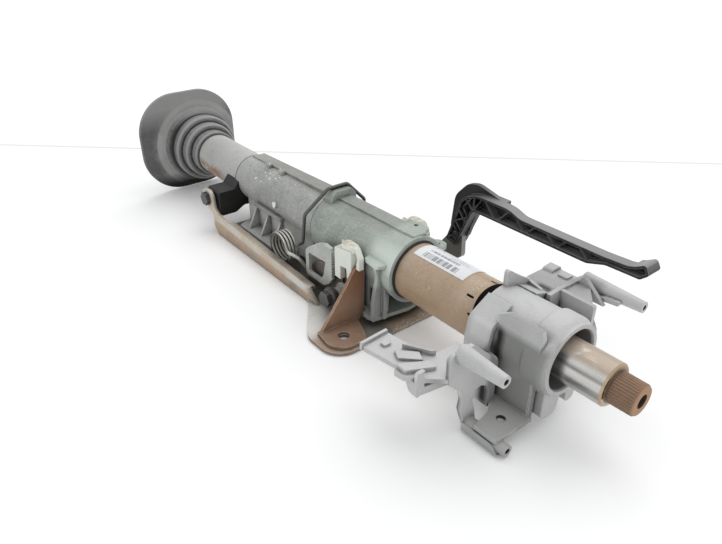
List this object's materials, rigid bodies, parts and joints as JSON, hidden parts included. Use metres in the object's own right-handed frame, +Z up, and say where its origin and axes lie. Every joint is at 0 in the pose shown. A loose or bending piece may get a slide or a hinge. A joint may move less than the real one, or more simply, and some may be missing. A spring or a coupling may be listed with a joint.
{
  "type": "steering column",
  "caption": "Tilting and telescoping steering column on a mounting bracket, with clamp lever, splined wheel shaft, tilt spring and bulkhead boot.",
  "frame": {"origin": "on the bracket's mounting face, midway between the two front bolt holes", "axes": "+X along the column to the steering wheel, +Y to the lever side, +Z up, away from the mounting face"},
  "size_m": [0.6485, 0.1915, 0.1215],
  "materials": {
    "bracket_steel": "coated steel sheet",
    "bumper_plastic": "white moulded plastic",
    "zinc_steel": "plated steel",
    "bush_plastic": "plain bearing plastic",
    "jacket_alloy": "die-cast, weathered",
    "tube_steel": "coated steel tube",
    "dark_steel": "dark steel",
    "seal_rubber": "moulded rubber",
    "boot_rubber": "moulded rubber, worn",
    "spring_steel": "spring wire",
    "inner_tube_steel": "coated steel tube",
    "label_film": "printed film",
    "housing_alloy": "die-cast, matte",
    "bearing_steel": "ground steel",
    "shaft_steel": "turned steel",
    "lever_plastic": "moulded plastic, worn edges"
  },
  "bodies": {
    "mounting_bracket": {"base_channel": "bracket_steel", "left_ear": "bracket_steel", "right_ear": "bracket_steel", "left_bumper": "bumper_plastic", "right_bumper": "bumper_plastic", "left_tooth_plate": "zinc_steel", "right_tooth_plate": "zinc_steel", "pivot_bolts": "zinc_steel", "pivot_bushes": "bush_plastic"},
    "outer_jacket": {"pivot_yoke": "dark_steel", "jacket_casting": "jacket_alloy", "lower_tube": "tube_steel", "jacket_screws": "zinc_steel", "guide_bushes": "bush_plastic", "mouth_seal": "seal_rubber", "boot": "boot_rubber", "clamp_bolt": "dark_steel", "clamp_washers": "dark_steel", "clamp_spacer": "zinc_steel", "fixed_cam": "dark_steel", "lever_nut": "zinc_steel", "tilt_spring": "spring_steel", "lower_bearing": "bearing_steel"},
    "inner_jacket": {"inner_tube": "inner_tube_steel", "label": "label_film", "lock_housing": "housing_alloy", "bearing_outer": "bearing_steel", "bearing_balls": "bearing_steel", "snap_ring": "dark_steel", "shaft_bush": "bush_plastic"},
    "upper_shaft": {"upper_shaft": "shaft_steel", "bearing_inner": "bearing_steel"},
    "lower_shaft": {"lower_shaft": "shaft_steel", "lower_bearing_inner": "bearing_steel"},
    "tilt_lever": {"tilt_lever": "lever_plastic", "lever_strap": "zinc_steel", "turning_cam": "dark_steel"}
  },
  "joints": [
    {"name": "tilt", "type": "hinge", "parent": "mounting_bracket", "child": "outer_jacket", "pos_m": [-0.264, 0, 0.038], "axis": [0, -1, 0], "range_deg": [-0.5, 3], "deforming": ["tilt_spring"]},
    {"name": "telescope", "type": "slide", "parent": "outer_jacket", "child": "inner_jacket", "axis": [1, 0, 0], "range_m": [-0.004, 0.036]},
    {"name": "steer", "type": "hinge", "parent": "inner_jacket", "child": "upper_shaft", "pos_m": [0.1445, 0, 0.054], "axis": [1, 0, 0], "continuous": true},
    {"name": "lower_steer", "type": "hinge", "parent": "outer_jacket", "child": "lower_shaft", "pos_m": [-0.37, 0, 0.054], "axis": [1, 0, 0], "continuous": true},
    {"name": "lever", "type": "hinge", "parent": "outer_jacket", "child": "tilt_lever", "pos_m": [-0.039, 0.066, 0.019], "axis": [0, -1, 0], "range_deg": [0, 35]}
  ],
  "couplings": [
    {"joint": "lower_steer", "follows": "steer", "ratio": 1}
  ]
}
